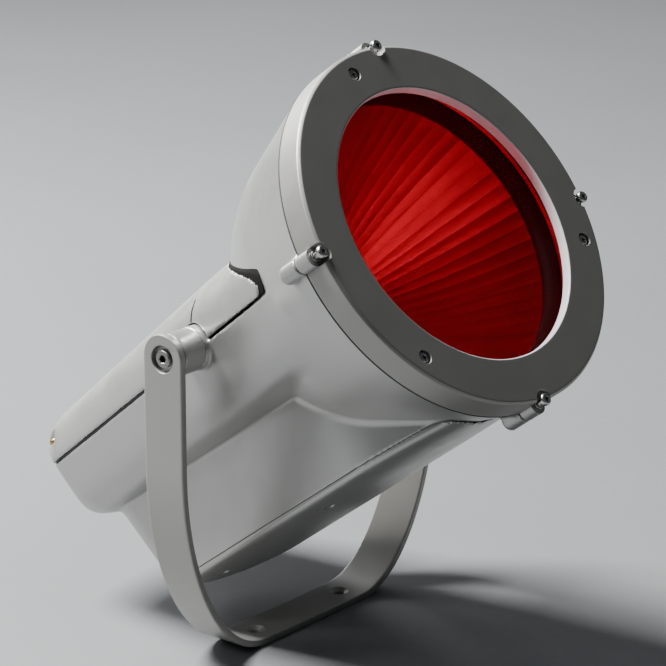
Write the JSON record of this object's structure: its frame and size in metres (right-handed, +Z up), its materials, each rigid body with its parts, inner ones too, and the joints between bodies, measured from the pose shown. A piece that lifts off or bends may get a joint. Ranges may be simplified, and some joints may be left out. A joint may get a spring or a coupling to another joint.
{
  "type": "outdoor spotlight",
  "caption": "Outdoor spotlight: bell-shaped head with a red filter behind a round bezel, gear housing behind it, tilting on pivots in a U-shaped strap stand.",
  "frame": {"origin": "centre of the underside of the yoke's flat base", "axes": "+Z up, the tilt axis along X, the head facing -Y and tilted up by 37 degrees at rest"},
  "size_m": [0.378, 0.5568, 0.582],
  "materials": {
    "housing_paint": "silver-grey paint, satin",
    "bezel_paint": "grey paint, satin",
    "yoke_paint": "silver-grey paint, satin",
    "stainless": "turned stainless steel",
    "zinc_yellow": "yellow passivated zinc",
    "gasket": "black silicone",
    "clear_glass": "clear",
    "red_glass": "red, clear",
    "reflector": "anodised, bright, faceted",
    "lamp_glass": "clear",
    "ceramic": "glazed, off-white",
    "aluminium": "bare, turned",
    "steel": "zinc-plated",
    "black_plastic": "black polyamide",
    "white_plastic": "off-white thermoplastic",
    "friction": "dark fibre"
  },
  "bodies": {
    "stand": {"yoke": "yoke_paint", "friction_washer_left": "friction", "friction_washer_right": "friction"},
    "head": {"housing": "housing_paint", "bottom_cover": "housing_paint", "bottom_screw_front_left": "stainless", "bottom_screw_front_right": "stainless", "bottom_screw_rear_left": "stainless", "bottom_screw_rear_right": "stainless", "breather_plug": "black_plastic", "cable_gland": "black_plastic", "cover_gasket": "gasket", "rim_gasket": "gasket", "pivot_spacer_left": "housing_paint", "pivot_spacer_right": "housing_paint", "pivot_nut_left": "steel", "pivot_nut_right": "steel", "reflector": "reflector", "lamp": "lamp_glass", "lampholder": "ceramic", "lamp_bracket": "steel", "gear_tray": "steel", "ballast": "steel", "ignitor": "white_plastic", "capacitor": "steel", "terminal_block": "white_plastic"},
    "cover": {"top_cover": "housing_paint", "cover_screw_left": "zinc_yellow", "cover_screw_right": "zinc_yellow"},
    "bezel": {"bezel_ring": "bezel_paint", "front_glass": "clear_glass", "red_filter": "red_glass", "front_gasket": "gasket", "retaining_ring": "aluminium", "face_screw_1": "stainless", "face_screw_2": "stainless", "face_screw_3": "stainless"},
    "pivot_bolt_left": {"pivot_bolt_left": "stainless"},
    "pivot_bolt_right": {"pivot_bolt_right": "stainless"},
    "clamp_screw_left": {"clamp_screw_left": "stainless"},
    "clamp_screw_top": {"clamp_screw_top": "stainless"},
    "clamp_screw_right": {"clamp_screw_right": "stainless"},
    "clamp_screw_bottom": {"clamp_screw_bottom": "stainless"}
  },
  "joints": [
    {"name": "tilt", "type": "hinge", "parent": "stand", "child": "head", "pos_m": [0, 0, 0.311], "axis": [-1, 0, 0], "range_deg": [-75, 90]},
    {"name": "cover_off", "type": "slide", "parent": "head", "child": "cover", "axis": [0, 0.6018, 0.7986], "range_m": [0, 0.06]},
    {"name": "bezel_off", "type": "slide", "parent": "head", "child": "bezel", "axis": [0, -0.7986, 0.6018], "range_m": [0, 0.08]},
    {"name": "pivot_bolt_left_turn", "type": "hinge", "parent": "stand", "child": "pivot_bolt_left", "pos_m": [-0.15, 0, 0.311], "axis": [-1, 0, 0], "continuous": true},
    {"name": "pivot_bolt_right_turn", "type": "hinge", "parent": "stand", "child": "pivot_bolt_right", "pos_m": [0.15, 0, 0.311], "axis": [1, 0, 0], "continuous": true},
    {"name": "clamp_screw_left_turn", "type": "hinge", "parent": "bezel", "child": "clamp_screw_left", "pos_m": [-0.17945, -0.16884, 0.43588], "axis": [0, -0.7986, 0.6018], "continuous": true},
    {"name": "clamp_screw_top_turn", "type": "hinge", "parent": "bezel", "child": "clamp_screw_top", "pos_m": [0.01725, -0.06951, 0.5677], "axis": [0, -0.7986, 0.6018], "continuous": true},
    {"name": "clamp_screw_right_turn", "type": "hinge", "parent": "bezel", "child": "clamp_screw_right", "pos_m": [0.17917, -0.18773, 0.41082], "axis": [0, -0.7986, 0.6018], "continuous": true},
    {"name": "clamp_screw_bottom_turn", "type": "hinge", "parent": "bezel", "child": "clamp_screw_bottom", "pos_m": [-0.00785, -0.28557, 0.28099], "axis": [0, -0.7986, 0.6018], "continuous": true}
  ]
}
